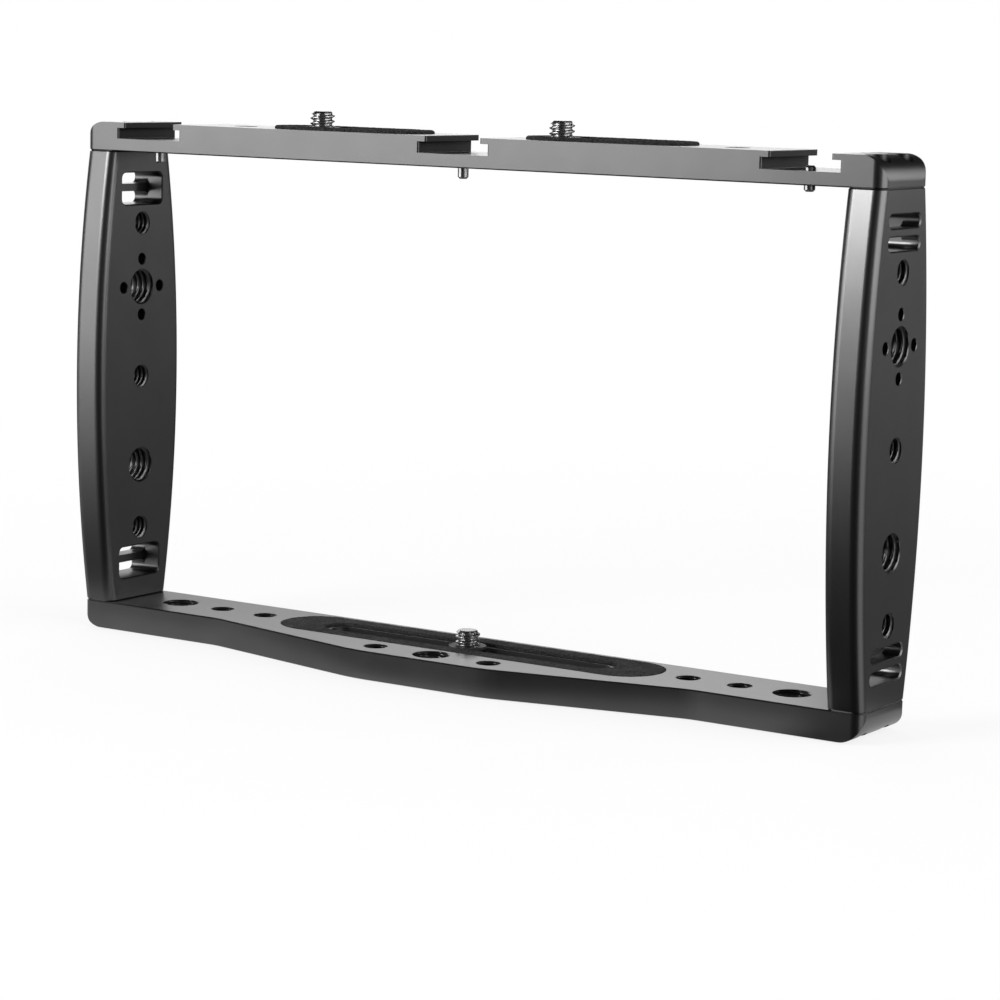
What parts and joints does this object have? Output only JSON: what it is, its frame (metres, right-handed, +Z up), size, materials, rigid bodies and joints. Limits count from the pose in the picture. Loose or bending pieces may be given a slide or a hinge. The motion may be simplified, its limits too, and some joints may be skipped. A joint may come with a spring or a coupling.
{
  "type": "camera cage",
  "caption": "Rectangular camera cage: bowed side handles, a top bar with accessory shoes and sliding screws, and a bottom plate with a sliding camera screw and threaded holes.",
  "frame": {"origin": "middle of the camera slot on the underside of the bottom plate, in the mid-plane of the handles", "axes": "+X along the bar to the right as seen from the front, +Y from front to back, +Z up"},
  "size_m": [0.22, 0.0378, 0.1317],
  "materials": {
    "black_anodised": "satin black anodised",
    "pad_rubber": "matt, finely textured",
    "bright_steel": "polished, nickel plated",
    "black_steel": "black oxide",
    "black_nylon": "matt"
  },
  "bodies": {
    "frame": {"top_bar": "black_anodised", "bottom_plate": "black_anodised", "left_handle": "black_anodised", "right_handle": "black_anodised", "left_top_pad": "pad_rubber", "right_top_pad": "pad_rubber", "bottom_pad": "pad_rubber", "top_left_front_screw": "black_steel", "top_left_back_screw": "black_steel", "top_right_front_screw": "black_steel", "top_right_back_screw": "black_steel", "bottom_left_front_screw": "black_steel", "bottom_left_back_screw": "black_steel", "bottom_right_front_screw": "black_steel", "bottom_right_back_screw": "black_steel"},
    "left_top_slider": {"left_top_washer": "black_nylon"},
    "left_top_screw": {"left_top_screw": "bright_steel"},
    "right_top_slider": {"right_top_washer": "black_nylon"},
    "right_top_screw": {"right_top_screw": "bright_steel"},
    "camera_slider": {"camera_washer": "black_nylon"},
    "camera_screw": {"camera_screw": "bright_steel"},
    "left_stop": {"left_shoe_stop_screw": "bright_steel"},
    "middle_stop": {"middle_shoe_stop_screw": "bright_steel"},
    "right_stop": {"right_shoe_stop_screw": "bright_steel"}
  },
  "joints": [
    {"name": "left_top_screw_slide", "type": "slide", "parent": "frame", "child": "left_top_slider", "axis": [1, 0, 0], "range_m": [-0.0047, 0.0234]},
    {"name": "left_top_screw_turn", "type": "hinge", "parent": "left_top_slider", "child": "left_top_screw", "pos_m": [-0.0453, 0, 0.1273], "axis": [0, 0, 1], "continuous": true},
    {"name": "right_top_screw_slide", "type": "slide", "parent": "frame", "child": "right_top_slider", "axis": [1, 0, 0], "range_m": [-0.0007, 0.0274]},
    {"name": "right_top_screw_turn", "type": "hinge", "parent": "right_top_slider", "child": "right_top_screw", "pos_m": [0.0226, 0, 0.1273], "axis": [0, 0, 1], "continuous": true},
    {"name": "camera_screw_slide", "type": "slide", "parent": "frame", "child": "camera_slider", "axis": [1, 0, 0], "range_m": [-0.036, 0.036]},
    {"name": "camera_screw_turn", "type": "hinge", "parent": "camera_slider", "child": "camera_screw", "pos_m": [0, 0, 0.0068], "axis": [0, 0, 1], "continuous": true},
    {"name": "left_stop_lift", "type": "slide", "parent": "frame", "child": "left_stop", "axis": [0, 0, 1], "range_m": [-0.00065, 0.002]},
    {"name": "middle_stop_lift", "type": "slide", "parent": "frame", "child": "middle_stop", "axis": [0, 0, 1], "range_m": [-0.00065, 0.002]},
    {"name": "right_stop_lift", "type": "slide", "parent": "frame", "child": "right_stop", "axis": [0, 0, 1], "range_m": [-0.00175, 0.0009]}
  ]
}
